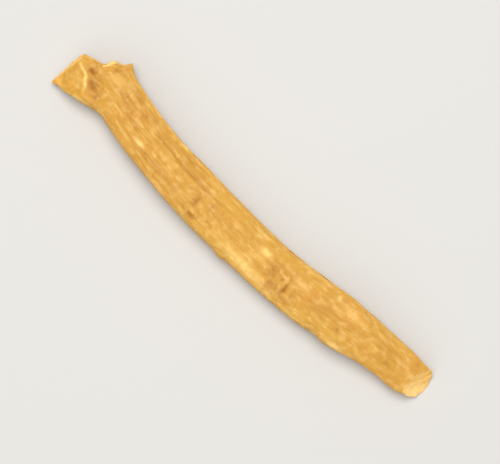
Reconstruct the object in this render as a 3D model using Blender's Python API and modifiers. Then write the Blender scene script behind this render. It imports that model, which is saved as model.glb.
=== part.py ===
"""A dried ashwagandha root, grown as one piece, lying on its side.

+X runs from the forked crown to the cut tail, +Y towards the side of the broken bud, +Z up.
The origin is under the middle of the root, on the surface that it lies on.
"""
import bmesh
import bpy
import numpy as np
from mathutils import Matrix, Vector

MM = 0.001

# The shaft, in millimetres: along, sideways, half width, half height, lift of its underside
SHAFT_STATIONS = (
    (-39.3, 0.75, 4.5, 4.6, -0.15),
    (-31.5, -0.85, 4.95, 4.7, 0.45),
    (-22.0, -1.9, 5.0, 4.6, 0.85),
    (-11.0, -2.25, 5.2, 4.65, 0.5),
    (0.0, -1.95, 5.35, 4.85, -0.1),
    (10.0, -1.3, 5.2, 4.8, -0.15),
    (19.0, 0.05, 5.25, 4.75, 0.4),
    (27.0, 1.45, 5.3, 4.7, 0.8),
    (33.0, 2.65, 4.6, 4.35, 0.6),
    (38.5, 3.35, 4.15, 3.9, 0.05),
    (42.6, 3.7, 4.0, 3.65, -0.1),
    (45.2, 4.15, 3.5, 3.4, 0.0),
    (48.5, 4.3, 3.45, 3.25, 0.0),
)
SHAFT_ENDS = (-43.3, 50.3)
SHAFT_SIDES = 52
RING_SPACING = 1.3
CROWN_ROUNDING = 5.0
CROWN_BLUNTNESS = 2.4

# Low relief of the shaft, in millimetres
SWELLING = 0.16
WRINKLE = 0.12
WRINKLE_COUNT = 11
SCAR_RINGS_AT = 12.7
SCAR_RING = 0.2
SCAR_RING_SPACING = 2.7

# Rootlet scars and knots: along, angle from the top towards +Y in degrees, height, length, width
BUMPS = (
    (-10.0, -37.0, 0.42, 1.5, 1.3),
    (-0.2, -88.0, 0.4, 1.3, 2.4),
    (-25.3, 147.0, 0.5, 1.7, 1.5),
    (7.2, 152.0, 0.35, 2.0, 1.6),
    (19.7, -128.0, 0.5, 1.6, 1.5),
    (32.2, 125.0, 0.35, 1.8, 1.5),
    (23.0, -84.0, -0.45, 1.8, 2.4),
    (-19.8, -140.0, -0.3, 1.6, 1.3),
)

# The stub, a side shoot with a cut end and an oblique cut across its outer shoulder, in millimetres
# and degrees. A section is its height over its width, then the power of its rounding: 2 is an
# ellipse, more is squarer.
STUB_FOOT = (-34.3, 0.45, 4.35)
STUB_TURN = 197.0
STUB_RISE = 1.0
STUB_LENGTH = 19.0
STUB_RADII = (2.4, 4.0, 4.4, 4.25, 4.1, 4.15, 4.2)
STUB_SECTION = (0.97, 2.5)
STUB_SIDES = 40
STUB_RINGS = 22
STUB_END_AT = (-47.45, -3.3, 4.3)
STUB_END_TURN = 179.0
STUB_END_TILT = 12.0
FACET_AT = (-44.7, -4.05, 6.5)
FACET_TURN = 231.0
FACET_TILT = 51.0
GROOVE_BEHIND_FACET = 1.15
GROOVE_WIDTH = 0.65
GROOVE_DEPTH = 0.6
GROOVE_SIDEWAYS = (-4.8, 1.4)
GROOVE_FADE = 1.3

# The bud, broken off short on the other side
BUD_FOOT = (-33.9, -1.5, 4.6)
BUD_TURN = 141.0
BUD_RISE = 2.0
BUD_LENGTH = 8.7
BUD_RADII = (1.2, 2.6, 3.05, 3.1, 2.95)
BUD_SECTION = (1.02, 2.4)
BUD_SIDES = 32
BUD_RINGS = 9
BUD_BREAK = 0.5

# The tail, cut off obliquely
TAIL_FACE_AT = (46.2, 4.25, 3.2)
TAIL_FACE_TURN = 3.0
TAIL_FACE_TILT = 31.0

# The plane that the root lies on takes a thin slice off its three lowest spots
RESTING_AT = (0.0, 0.0, 0.0)
END_CUTTER = 30.0
RESTING_CUTTER = 130.0
SMALLEST_EDGE = 0.02

BARK_COLOUR = (0.79, 0.43, 0.087, 1.0)
WOOD_COLOUR = (0.85, 0.62, 0.28, 1.0)


def principled(name, colour, roughness):
    """A plain material with the colour and roughness of its finish."""
    material = bpy.data.materials.new(name)
    material.use_nodes = True
    material.diffuse_color = colour
    shader = material.node_tree.nodes["Principled BSDF"]
    shader.inputs["Base Color"].default_value = colour
    shader.inputs["Roughness"].default_value = roughness
    shader.inputs["Metallic"].default_value = 0.0
    return material


def new_collection(name):
    collection = bpy.data.collections.new(name)
    bpy.context.scene.collection.children.link(collection)
    return collection


def smooth_through(knots, values, at):
    """A smooth curve through the values at the knots, carried on straight past both ends."""
    slopes = np.gradient(values, knots)
    inside = np.clip(at, knots[0], knots[-1])
    k = np.clip(np.searchsorted(knots, inside) - 1, 0, len(knots) - 2)
    span = knots[k + 1] - knots[k]
    t = (inside - knots[k]) / span
    start = (1 + 2 * t) * (1 - t) ** 2 * values[k] + t * (1 - t) ** 2 * span * slopes[k]
    end = t * t * (3 - 2 * t) * values[k + 1] - t * t * (1 - t) * span * slopes[k + 1]
    end_slope = np.where(at < knots[0], slopes[0], slopes[-1])
    return start + end + end_slope * (at - inside)


def shaft_section(at):
    """Sideways place, half width, half height and middle height of the shaft, all along it."""
    stations = np.array(SHAFT_STATIONS)
    sideways, half_width, half_height, lift = (
        smooth_through(stations[:, 0], stations[:, column], at) for column in range(1, 5))
    return sideways, half_width, half_height, half_height + lift


def turned_blank(name, outline, sides):
    """A solid turned about Z from (radius, depth) points, listed from its top down to its foot."""
    mesh = bpy.data.meshes.new(name)
    points = [(radius, 0.0, -depth) for radius, depth in outline]
    mesh.from_pydata(points, [(i, i + 1) for i in range(len(points) - 1)], [])
    blank = bpy.data.objects.new(name, mesh)
    bpy.context.scene.collection.objects.link(blank)
    screw = blank.modifiers.new("turn", "SCREW")
    screw.axis = "Z"
    screw.steps = sides
    screw.render_steps = sides
    screw.use_merge_vertices = True
    screw.merge_threshold = 0.00001
    turned = bpy.data.meshes.new_from_object(
        blank.evaluated_get(bpy.context.evaluated_depsgraph_get()))
    bpy.data.objects.remove(blank)
    bpy.data.meshes.remove(mesh)
    return turned


def positions(mesh):
    flat = np.empty(len(mesh.vertices) * 3)
    mesh.vertices.foreach_get("co", flat)
    return flat.reshape(-1, 3)


def place_positions(mesh, points):
    mesh.vertices.foreach_set("co", np.ascontiguousarray(points, dtype=np.float32).ravel())
    mesh.update()


def add_object(mesh, name, collection, material):
    obj = bpy.data.objects.new(name, mesh)
    mesh.materials.clear()
    mesh.materials.append(material)
    collection.objects.link(obj)
    return obj


def hide_cutter(obj):
    obj.hide_render = True
    obj.display_type = "WIRE"


def bump(distance_along, angle, bump_angle, radius, length, width):
    """A rounded bump of height 1, by its length along the root and its width around it."""
    around = (angle - bump_angle + np.pi) % (2 * np.pi) - np.pi
    return np.exp(-(distance_along / length) ** 2 - (around * radius / width) ** 2)


def shaft_relief(along, angle, radius):
    """Swellings, lengthwise wrinkles, ring scars and rootlet scars, as heights in millimetres."""
    swelling = np.sin(along / 6.1 + 1.1) * np.cos(2 * angle + along / 17.0)
    swelling += 0.7 * np.cos(3 * angle - along / 11.0 + 0.8)
    near_crown = 1.0 / (1.0 + np.exp((along + 8.0) / 9.0))
    wander = 0.8 * np.sin(along / 13.0) + 0.35 * np.sin(along / 5.3 + 2.0 * angle)
    folds = np.cos(WRINKLE_COUNT * angle + wander)
    folds += 0.5 * np.cos((WRINKLE_COUNT + 4) * angle - 1.3 * wander + 1.0)
    wrinkles = (0.25 + 0.75 * near_crown) * folds
    ring_zone = bump(along - SCAR_RINGS_AT, angle, np.radians(-20.0), radius, 4.5, 5.5)
    rings = ring_zone * np.cos(2 * np.pi * (along - SCAR_RINGS_AT) / SCAR_RING_SPACING + 0.4 * folds)
    height = SWELLING * swelling + WRINKLE * wrinkles + SCAR_RING * rings
    for place, degrees, tall, length, width in BUMPS:
        height += tall * bump(along - place, angle, np.radians(degrees), radius, length, width)
    return height


def make_shaft(collection, material):
    """The shaft: a turned blank, raised by its relief and bent along the line of the root."""
    start, end = SHAFT_ENDS
    rings = int(round((end - start) / RING_SPACING))
    along = np.linspace(start, end, rings + 1)
    half_width = shaft_section(along)[1]
    into_crown = np.clip((along - start) / CROWN_ROUNDING, 0.0, 1.0)
    rounding = (1.0 - (1.0 - into_crown) ** CROWN_BLUNTNESS) ** (1.0 / CROWN_BLUNTNESS)
    outline = list(zip(half_width * rounding * MM, (along - start) * MM))
    mesh = turned_blank("shaft_blank", outline + [(0.0, (end - start) * MM)], SHAFT_SIDES)
    points = positions(mesh) / MM
    along = start - points[:, 2]
    radius = np.hypot(points[:, 0], points[:, 1])
    angle = np.arctan2(points[:, 1], points[:, 0])
    sideways, half_width, half_height, middle = shaft_section(along)
    share = np.minimum(radius / half_width, 1.0)
    raised = radius + share * shaft_relief(along, angle, half_width)
    step = 0.5
    slope = (shaft_section(along + step)[0] - shaft_section(along - step)[0]) / (2 * step)
    across = raised * np.sin(angle)
    stretch = np.hypot(1.0, slope)
    bent = np.stack([along - across * slope / stretch,
                     sideways + across / stretch,
                     middle + raised * np.cos(angle) * half_height / half_width], axis=1)
    place_positions(mesh, bent * MM)
    return add_object(mesh, "ashwagandha_root", collection, material)


def arm_frame(foot, turn, rise):
    """Place and axes of an arm: it runs out along its own X, by its turn from +X and its rise."""
    outwards = Vector((1.0, 0.0, 0.0))
    outwards.rotate(Matrix.Rotation(-np.radians(rise), 3, "Y"))
    outwards.rotate(Matrix.Rotation(np.radians(turn), 3, "Z"))
    sideways = Vector((0.0, 0.0, 1.0)).cross(outwards).normalized()
    upwards = outwards.cross(sideways)
    return np.array(foot), np.array(outwards), np.array(sideways), np.array(upwards)


def arm_blank(name, radii, length, sides, rings, tip_rings):
    """A turned arm whose depth runs from its foot to its flat tip."""
    depth = np.linspace(0.0, length, rings + 1)
    knots = np.linspace(0.0, length, len(radii))
    radius = smooth_through(knots, np.array(radii), depth)
    inner = [(radius[-1] * k / tip_rings, length) for k in range(tip_rings - 1, -1, -1)]
    outline = [(0.0, 0.0)] + list(zip(radius, depth)) + inner
    return turned_blank(name, [(r * MM, d * MM) for r, d in outline], sides)


def set_arm(mesh, frame, section, raise_by):
    """Raises an arm's relief, shapes its section and sets it out from its foot."""
    points = positions(mesh) / MM
    depth = -points[:, 2]
    radius = np.hypot(points[:, 0], points[:, 1])
    angle = np.arctan2(points[:, 1], points[:, 0])
    flatness, power = section
    squarer = (np.abs(np.cos(angle)) ** power + np.abs(np.sin(angle)) ** power) ** (-1.0 / power)
    radial, lengthwise = raise_by(depth, angle, radius)
    raised = radius * squarer + radial
    foot, outwards, sideways, upwards = frame
    placed = (foot + np.outer(depth + lengthwise, outwards) + np.outer(raised * np.sin(angle), sideways)
              + np.outer(raised * np.cos(angle) * flatness, upwards))
    place_positions(mesh, placed * MM)


def make_stub(collection, material):
    """The stub, with lengthwise wrinkles."""
    mesh = arm_blank("stub_blank", STUB_RADII, STUB_LENGTH, STUB_SIDES, STUB_RINGS, 2)
    frame = arm_frame(STUB_FOOT, STUB_TURN, STUB_RISE)

    def relief(depth, angle, radius):
        share = np.minimum(radius / STUB_RADII[-1], 1.0)
        folds = np.cos(8 * angle + 0.9) + 0.5 * np.cos(13 * angle + depth / 4.0)
        return share * 0.13 * folds, 0.0

    set_arm(mesh, frame, STUB_SECTION, relief)
    return add_object(mesh, "stub_form", collection, material)


def make_bud(collection, material):
    """The bud: a short arm whose broken end stands up in steps."""
    mesh = arm_blank("bud_blank", BUD_RADII, BUD_LENGTH, BUD_SIDES, BUD_RINGS, 3)
    frame = arm_frame(BUD_FOOT, BUD_TURN, BUD_RISE)

    def relief(depth, angle, radius):
        share = np.minimum(radius / BUD_RADII[-1], 1.0)
        folds = np.cos(6 * angle + 0.4) + 0.5 * np.cos(11 * angle - depth / 3.0)
        near_tip = np.clip(depth / BUD_LENGTH * 2.5 - 1.5, 0.0, 1.0)
        steps = np.sin(angle - 2.2) + 0.6 * np.sin(3 * angle + 0.4) - 0.9 * (1.0 - share)
        return share * 0.12 * folds, BUD_BREAK * near_tip * steps

    set_arm(mesh, frame, BUD_SECTION, relief)
    return add_object(mesh, "bud_form", collection, material)


def face_normal(turn, tilt):
    """Outward direction of a cut face, by its turn from +X and its tilt towards the sky."""
    flat = np.cos(np.radians(tilt))
    return Vector((flat * np.cos(np.radians(turn)), flat * np.sin(np.radians(turn)),
                   np.sin(np.radians(tilt))))


def make_cutter(name, face_at, normal, size, collection, material):
    """A cube that takes away everything outside one flat face."""
    bpy.ops.mesh.primitive_cube_add(size=size * MM)
    cutter = bpy.context.active_object
    cutter.name = name
    cutter.data.materials.append(material)
    cutter.rotation_euler = normal.to_track_quat("Z", "Y").to_euler()
    cutter.location = (Vector(face_at) + normal * size / 2) * MM
    for holder in list(cutter.users_collection):
        holder.objects.unlink(cutter)
    collection.objects.link(cutter)
    hide_cutter(cutter)
    return cutter


def add_boolean(obj, other, operation):
    boolean = obj.modifiers.new(operation.lower() + "_" + other.name, "BOOLEAN")
    boolean.operation = operation
    boolean.solver = "EXACT"
    boolean.material_mode = "TRANSFER"
    boolean.object = other


def tidy_mesh(obj):
    """Applies the modifiers, closes up the hair-thin edges that they leave and makes triangles."""
    depsgraph = bpy.context.evaluated_depsgraph_get()
    mesh = bpy.data.meshes.new_from_object(obj.evaluated_get(depsgraph))
    obj.modifiers.clear()
    obj.data = mesh
    work = bmesh.new()
    work.from_mesh(mesh)
    bmesh.ops.remove_doubles(work, verts=work.verts, dist=SMALLEST_EDGE * MM)
    bmesh.ops.dissolve_degenerate(work, dist=SMALLEST_EDGE * MM / 4, edges=work.edges)
    bmesh.ops.triangulate(work, faces=work.faces, ngon_method="BEAUTY")
    work.to_mesh(mesh)
    work.free()
    mesh.name = obj.name
    mesh.shade_smooth()
    mesh.set_sharp_from_angle(angle=np.radians(40.0))


def press_groove(obj):
    """Presses in the groove that runs over the stub, a little behind its oblique facet."""
    mesh = obj.data
    points = positions(mesh) / MM
    inwards = -np.array(face_normal(FACET_TURN, FACET_TILT))
    behind = (points - np.array(FACET_AT)) @ inwards
    low, high = GROOVE_SIDEWAYS
    from_low_end = np.clip((points[:, 1] - low) / GROOVE_FADE, 0.0, 1.0)
    from_high_end = np.clip((high - points[:, 1]) / GROOVE_FADE, 0.0, 1.0)
    upper_side = np.clip((points[:, 2] - STUB_END_AT[2]) / GROOVE_FADE, 0.0, 1.0)
    across = np.exp(-((behind - GROOVE_BEHIND_FACET) / GROOVE_WIDTH) ** 2)
    depth = GROOVE_DEPTH * from_low_end * from_high_end * upper_side * across
    normals = np.empty(len(mesh.vertices) * 3)
    mesh.vertices.foreach_get("normal", normals)
    place_positions(mesh, (points - depth[:, None] * normals.reshape(-1, 3)) * MM)


def main():
    for obj in list(bpy.data.objects):
        bpy.data.objects.remove(obj)
    root_collection = new_collection("ashwagandha_root")
    cutters = new_collection("cutters")
    bark = principled("bark", BARK_COLOUR, 0.72)
    wood = principled("cut_wood", WOOD_COLOUR, 0.85)

    root = make_shaft(root_collection, bark)
    press_groove(root)
    for make_arm in (make_stub, make_bud):
        arm = make_arm(cutters, bark)
        press_groove(arm)
        hide_cutter(arm)
        add_boolean(root, arm, "UNION")
    flat_faces = (
        ("facet_cutter", FACET_AT, face_normal(FACET_TURN, FACET_TILT), END_CUTTER, wood),
        ("stub_end_cutter", STUB_END_AT, face_normal(STUB_END_TURN, STUB_END_TILT), END_CUTTER, wood),
        ("tail_face_cutter", TAIL_FACE_AT, face_normal(TAIL_FACE_TURN, TAIL_FACE_TILT), END_CUTTER, wood),
        ("resting_cutter", RESTING_AT, Vector((0.0, 0.0, -1.0)), RESTING_CUTTER, bark),
    )
    for name, face_at, normal, size, material in flat_faces:
        add_boolean(root, make_cutter(name, face_at, normal, size, cutters, material), "DIFFERENCE")
    tidy_mesh(root)


main()
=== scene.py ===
# A dried ashwagandha root lying on a pale floor: one closed skin over the whole root and its cut faces.
import itertools

import bpy
import numpy as np
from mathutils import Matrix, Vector


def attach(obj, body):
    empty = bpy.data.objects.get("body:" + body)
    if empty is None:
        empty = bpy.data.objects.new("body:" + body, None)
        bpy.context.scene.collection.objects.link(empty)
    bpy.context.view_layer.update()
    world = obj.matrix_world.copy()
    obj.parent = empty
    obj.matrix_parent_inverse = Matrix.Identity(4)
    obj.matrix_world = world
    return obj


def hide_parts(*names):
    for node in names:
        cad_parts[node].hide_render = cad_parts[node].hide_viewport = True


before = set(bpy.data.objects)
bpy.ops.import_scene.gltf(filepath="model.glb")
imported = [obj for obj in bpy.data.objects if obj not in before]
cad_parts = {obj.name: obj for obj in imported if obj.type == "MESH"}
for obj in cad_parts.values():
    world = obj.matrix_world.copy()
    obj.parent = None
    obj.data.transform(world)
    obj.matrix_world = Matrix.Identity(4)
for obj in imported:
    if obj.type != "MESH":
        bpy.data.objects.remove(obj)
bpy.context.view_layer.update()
print("frame loaded")

mm = 0.001
shownNode = "ashwagandha_root"
shownBody = "root"


# Numbers and curves

def smoothThrough(knots, values, at):
    # A cubic through the values, each slope taken from its two neighbours, and straight past the ends
    slopes = np.gradient(values, knots)
    inside = np.clip(at, knots[0], knots[-1])
    k = np.clip(np.searchsorted(knots, inside) - 1, 0, len(knots) - 2)
    span = knots[k + 1] - knots[k]
    t = (inside - knots[k]) / span
    start = (1 + 2 * t) * (1 - t) ** 2 * values[k] + t * (1 - t) ** 2 * span * slopes[k]
    end = t * t * (3 - 2 * t) * values[k + 1] - t * t * (1 - t) * span * slopes[k + 1]
    endSlope = np.where(at < knots[0], slopes[0], slopes[-1])
    return start + end + endSlope * (at - inside)


def ease(value, low, high):
    # 0 up to low, 1 from high on, and 3t^2 - 2t^3 between them
    t = np.clip((value - low) / (high - low), 0.0, 1.0)
    return t * t * (3.0 - 2.0 * t)


def fadePast(value, middle, softness):
    # 1 well below the middle and 0 well above it, without a start or an end
    return 1.0 / (1.0 + np.exp((value - middle) / softness))


def softMin(a, b, width):
    # The lower of two fields, with the corner between them filled in over the width
    near = np.maximum(width - np.abs(a - b), 0.0) / width
    return np.minimum(a, b) - near * near * width / 4.0


def cornerValue(corner, seed):
    # A repeatable number from -1 to 1 for each corner: its places times large odd numbers, bits folded
    mixed = (corner[..., 0] * 374761393 + corner[..., 1] * 668265263
             + corner[..., 2] * 1274126177 + seed * 974711) & 0xffffffff
    mixed = ((mixed ^ (mixed >> 13)) * 1274126177) & 0xffffffff
    return (mixed ^ (mixed >> 16)) / 0x7fffffff - 1.0


def softNoise(points, seed):
    # Gradient noise of about -1 to 1: heights of the corners' slopes blended by 6t^5 - 15t^4 + 10t^3
    cell = np.floor(points).astype(np.int64)
    inside = points - cell
    blend = inside ** 3 * (inside * (inside * 6.0 - 15.0) + 10.0)
    total = np.zeros(points.shape[:-1])
    for corner in itertools.product((0, 1), repeat=3):
        away = inside - corner
        height = sum(cornerValue(cell + corner, seed + 31 * k) * away[..., k] for k in range(3))
        total += height * np.prod(np.where(corner, blend, 1.0 - blend), axis=-1)
    return total * 1.6


def noiseSum(points, layers, seedShift=0):
    # Noise of several sizes, added: size, height and seed of each
    return sum(tall * softNoise(points / size, seed + seedShift) for size, tall, seed in layers)


def patchyShare(points, size, least, added, seed):
    # A share that varies from place to place by noise
    return least + added * softNoise(points / size, seed)


def unit(vectors):
    return vectors / np.linalg.norm(vectors, axis=-1, keepdims=True)


def directionOf(turn, rise):
    # A unit direction from its turn about Z and its rise above level, in degrees
    turn, rise = np.radians((turn, rise))
    return np.array((np.cos(rise) * np.cos(turn), np.cos(rise) * np.sin(turn), np.sin(rise)))


# The root: its form, in millimetres and degrees

root = {
    # Shaft: along, sideways, half width, half height, lift of its underside
    "stations": np.array((
        (-39.3, 0.75, 4.5, 4.6, -0.15), (-31.5, -0.85, 4.95, 4.7, 0.45), (-22.0, -1.9, 5.0, 4.6, 0.85),
        (-11.0, -2.25, 5.2, 4.65, 0.5), (0.0, -1.95, 5.35, 4.85, -0.1), (10.0, -1.3, 5.2, 4.8, -0.15),
        (19.0, 0.05, 5.25, 4.75, 0.4), (27.0, 1.45, 5.3, 4.7, 0.8), (33.0, 2.65, 4.6, 4.35, 0.6),
        (38.5, 3.35, 4.15, 3.9, 0.05), (42.6, 3.7, 4.0, 3.65, -0.1), (45.2, 4.15, 3.5, 3.4, 0.0),
        (48.5, 4.3, 3.45, 3.25, 0.0),
    )),
    "crown": {"start": -43.3, "rounding": 5.0, "bluntness": 2.4},
    # Slow swellings: a wave of two lobes (run, shift, twist) and one of three (share, twist, shift)
    "swelling": {"height": 0.16, "two": (6.1, 1.1, 17.0), "three": (0.7, 11.0, 0.8)},
    # Lengthwise folds, with a second set (how many more, share, lean, shift), a wander of two waves,
    # and the least share of their height, with x and softness of where the rest fades out
    "folds": {"height": 0.12, "count": 11, "second": (4, 0.5, 1.3, 1.0),
              "wander": ((0.8, 13.0), (0.35, 5.3, 2.0)), "least": 0.25, "fade": (-8.0, 9.0)},
    "scarRings": {"along": 12.7, "height": 0.2, "spacing": 2.7, "angle": -20.0, "halfLength": 4.5,
                  "halfWidth": 5.5, "followFolds": 0.4},
    # Rootlet scars and knots: along, angle from the top towards +Y, height, length, width
    "bumps": (
        (-10.0, -37.0, 0.42, 1.5, 1.3), (-0.2, -88.0, 0.4, 1.3, 2.4), (-25.3, 147.0, 0.5, 1.7, 1.5),
        (7.2, 152.0, 0.35, 2.0, 1.6), (19.7, -128.0, 0.5, 1.6, 1.5), (32.2, 125.0, 0.35, 1.8, 1.5),
        (23.0, -84.0, -0.45, 1.8, 2.4), (-19.8, -140.0, -0.3, 1.6, 1.3),
    ),
    # Arms: radii from foot to tip, height over width, and the power of the section's rounding
    "stub": {"foot": (-34.3, 0.45, 4.35), "turn": 197.0, "rise": 1.0, "length": 19.0,
             "radii": (2.4, 4.0, 4.4, 4.25, 4.1, 4.15, 4.2), "flatness": 0.97, "power": 2.5,
             "folds": (0.13, 8, 0.9, 13, 4.0)},
    "bud": {"foot": (-33.9, -1.5, 4.6), "turn": 141.0, "rise": 2.0, "length": 8.7,
            "radii": (1.2, 2.6, 3.05, 3.1, 2.95), "flatness": 1.02, "power": 2.4,
            "folds": (0.12, 6, 0.4, 11, -3.0),
            # The torn end's steps: height, turn, share and turn of the finer ones, hollow, soft edge
            "tear": (0.5, 2.2, 0.6, 0.4, 0.9, 0.35)},
    "filletOfStub": 1.5,
    "filletOfBud": 0.8,
    # Cut faces: a point on each, the way that it looks, and how ragged its rim is
    "stubCut": {"at": (-47.45, -3.3, 4.3), "turn": 179.0, "tilt": 12.0, "ragged": 0.35},
    "tailCut": {"at": (46.2, 4.25, 3.2), "turn": 3.0, "tilt": 31.0, "ragged": 1.0},
    "facet": {"at": (-44.7, -4.05, 6.5), "turn": 231.0, "tilt": 51.0},
    "facetEdge": 0.3,
    # The groove round the stub's upper side, behind its cut face
    "groove": {"behind": 1.15, "width": 0.65, "depth": 0.6, "sideways": (-4.8, 1.4), "fade": 1.3},
}


def shaftColumn(at, column):
    return smoothThrough(root["stations"][:, 0], root["stations"][:, column], at)


def aroundFrom(angle, middle):
    # How far an angle lies from another, by the shorter way round
    return (angle - middle + np.pi) % (2 * np.pi) - np.pi


def bump(alongAway, angle, degrees, radius, length, width):
    # A rounded bump of height 1: a bell along the root times a bell around it
    around = aroundFrom(angle, np.radians(degrees))
    return np.exp(-(alongAway / length) ** 2 - (around * radius / width) ** 2)


def shaftRelief(along, angle, radius):
    # Waves for the swellings, the folds and the ring scars, and a bump for each rootlet scar
    swelling, fold, scars = root["swelling"], root["folds"], root["scarRings"]
    run, shift, twist = swelling["two"]
    swells = np.sin(along / run + shift) * np.cos(2 * angle + along / twist)
    share, twist, shift = swelling["three"]
    swells += share * np.cos(3 * angle - along / twist + shift)
    (high, longRun), (low, shortRun, turning) = fold["wander"]
    wander = high * np.sin(along / longRun) + low * np.sin(along / shortRun + turning * angle)
    more, share, lean, shift = fold["second"]
    folds = np.cos(fold["count"] * angle + wander)
    folds += share * np.cos((fold["count"] + more) * angle - lean * wander + shift)
    away = along - scars["along"]
    scarZone = bump(away, angle, scars["angle"], radius, scars["halfLength"], scars["halfWidth"])
    rings = np.cos(2 * np.pi * away / scars["spacing"] + scars["followFolds"] * folds)
    height = swelling["height"] * swells + scars["height"] * scarZone * rings
    nearCrown = fadePast(along, *fold["fade"])
    height += fold["height"] * (fold["least"] + (1.0 - fold["least"]) * nearCrown) * folds
    for place, degrees, tall, length, width in root["bumps"]:
        height += tall * bump(along - place, angle, degrees, radius, length, width)
    return height


def shaftPlace(points):
    # Place along the shaft, across it and above its middle, settled by along = x + (y - sideways) * slope
    along = points[..., 0]
    for _ in range(3):
        sideways = shaftColumn(along, 1)
        slope = shaftColumn(along + 0.5, 1) - shaftColumn(along - 0.5, 1)
        along = points[..., 0] + (points[..., 1] - sideways) * slope
    across = (points[..., 1] - shaftColumn(along, 1)) * np.hypot(1.0, slope)
    return along, across, points[..., 2] - shaftColumn(along, 3) - shaftColumn(along, 4)


def shaftField(points):
    # Distance outside the shaft, whose end at the crown is rounded by a power sum
    along, across, up = shaftPlace(points)
    halfWidth = shaftColumn(along, 2)
    up = up * halfWidth / shaftColumn(along, 3)
    raised = np.hypot(across, up)
    angle = np.arctan2(across, up)
    surface = halfWidth + shaftRelief(along, angle, halfWidth)
    crown = root["crown"]
    past = np.maximum(crown["start"] + crown["rounding"] - along, 0.0) / crown["rounding"]
    power = crown["bluntness"]
    return ((past ** power + (raised / surface) ** power) ** (1.0 / power) - 1.0) * halfWidth


def armPlace(points, arm):
    # Depth, distance from the axis and angle of each point, seen from an arm's foot
    outwards = directionOf(arm["turn"], arm["rise"])
    sideways = unit(np.cross((0.0, 0.0, 1.0), outwards))
    away = points - np.array(arm["foot"])
    aside = away @ sideways
    up = away @ np.cross(outwards, sideways) / arm["flatness"]
    return away @ outwards, np.hypot(aside, up), np.arctan2(aside, up)


def alongArm(points, arm):
    # Along, across and up as on the shaft, but turned to run along the arm from its foot
    depth, raised, angle = armPlace(points, arm)
    return np.stack([arm["foot"][0] - depth, -raised * np.sin(angle), raised * np.cos(angle)], -1)


def armField(points, arm):
    # Distance outside an arm: a rounded section that follows the radii, with folds, flat at its foot
    depth, raised, angle = armPlace(points, arm)
    radii = np.array(arm["radii"])
    knots = np.linspace(0.0, arm["length"], len(radii))
    radius = smoothThrough(knots, radii, np.clip(depth, 0.0, arm["length"]))
    power = arm["power"]
    squarer = (np.abs(np.cos(angle)) ** power + np.abs(np.sin(angle)) ** power) ** (-1.0 / power)
    height, count, shift, secondCount, run = arm["folds"]
    folds = np.cos(count * angle + shift) + 0.5 * np.cos(secondCount * angle + depth / run)
    return np.maximum(raised - radius * squarer - height * folds, -depth)


def budField(points):
    # The bud's arm, cut short by a torn end: a flat end moved out and in by sines of the angle
    bud = root["bud"]
    side = armField(points, bud)
    depth, raised, angle = armPlace(points, bud)
    share = np.minimum(raised / bud["radii"][-1], 1.0)
    height, turn, finer, finerTurn, hollow, edge = bud["tear"]
    steps = np.sin(angle - turn) + finer * np.sin(3 * angle + finerTurn) - hollow * (1.0 - share)
    end = depth - bud["length"] - height * steps
    return side, end, -softMin(-side, -end, edge)


def cutNormal(cut):
    return directionOf(cut["turn"], cut["tilt"])


def beyondCut(points, cut):
    return (points - np.array(cut["at"])) @ cutNormal(cut)


def rootField(points):
    main = softMin(shaftField(points), armField(points, root["stub"]), root["filletOfStub"])
    whole = softMin(main, budField(points)[2], root["filletOfBud"])
    return -softMin(-whole, -beyondCut(points, root["facet"]), root["facetEdge"])


# The root: its skin, on a grid of rings along it and columns around it

skin = {
    "columns": 184,
    "ringSpacing": 0.24,
    "crownSpacing": 0.105,
    "crownZone": (-46.9, -35.5),
    "rimRings": (0.0, 0.05, 0.11, 0.19, 0.3, 0.45),
    "bendFrom": -44.0,
    "bendTo": -28.0,
    "turnToCut": 9.0,
    "tailPath": 8.0,
    # Distances from a cut over which the relief turns from the rays to the surface's own normal
    "rayToNormal": (0.3, 2.0),
    "rayNear": 0.8,
    "rayFar": 12.5,
    "rayHalvings": 20,
    "capRings": 22,
}


def ringPlaces():
    # x of each ring: close together at both rims and over the crown, wider along the shaft
    first, last = root["stubCut"]["at"][0], root["tailCut"]["at"][0]
    rims = np.array(skin["rimRings"])
    low, high = skin["crownZone"]
    wide, fine = skin["ringSpacing"], skin["crownSpacing"]
    stretches = ((first + rims[-1], low, wide), (low, high, fine), (high, last - rims[-1], wide))
    inner = [np.linspace(a, b, int(round((b - a) / step)), endpoint=False) for a, b, step in stretches]
    return np.concatenate([first + rims[:-1], *inner, last - rims[::-1]])


def pathPoints(x):
    # The line that the rings are strung on: down the stub's axis, round the bend, along the shaft
    stubAt, tailAt = root["stubCut"]["at"], root["tailCut"]["at"]
    along = directionOf(root["stub"]["turn"], root["stub"]["rise"])
    stubY = stubAt[1] + (x - stubAt[0]) * along[1] / along[0]
    stubZ = stubAt[2] + (x - stubAt[0]) * along[2] / along[0]
    shaftY = shaftColumn(x, 1)
    shaftZ = shaftColumn(x, 3) + shaftColumn(x, 4)
    share = ease(x, skin["bendFrom"], skin["bendTo"])
    y = stubY + (shaftY - stubY) * share
    z = stubZ + (shaftZ - stubZ) * share
    nearTail = ease(x, tailAt[0] - skin["tailPath"], tailAt[0])
    y = y + (tailAt[1] - shaftY[-1]) * nearTail
    return np.stack([x, y, z + (tailAt[2] - shaftZ[-1]) * nearTail], -1)


def ringFrames(path):
    # Each ring's plane: square to the path, and turning into the cut's plane near both ends
    normal = unit(np.gradient(path, axis=0))
    run = np.concatenate([[0.0], np.cumsum(np.linalg.norm(np.diff(path, axis=0), axis=1))])
    for cut, distance, sign in ((root["stubCut"], run, -1.0), (root["tailCut"], run[-1] - run, 1.0)):
        share = ease(-distance, -skin["turnToCut"], 0.0)[:, None]
        normal = normal * (1.0 - share) + sign * cutNormal(cut) * share
    normal = unit(normal)
    up = unit(np.array((0.0, 0.0, 1.0)) - normal * normal[:, 2:])
    return run, normal, up, np.cross(up, normal)


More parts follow.
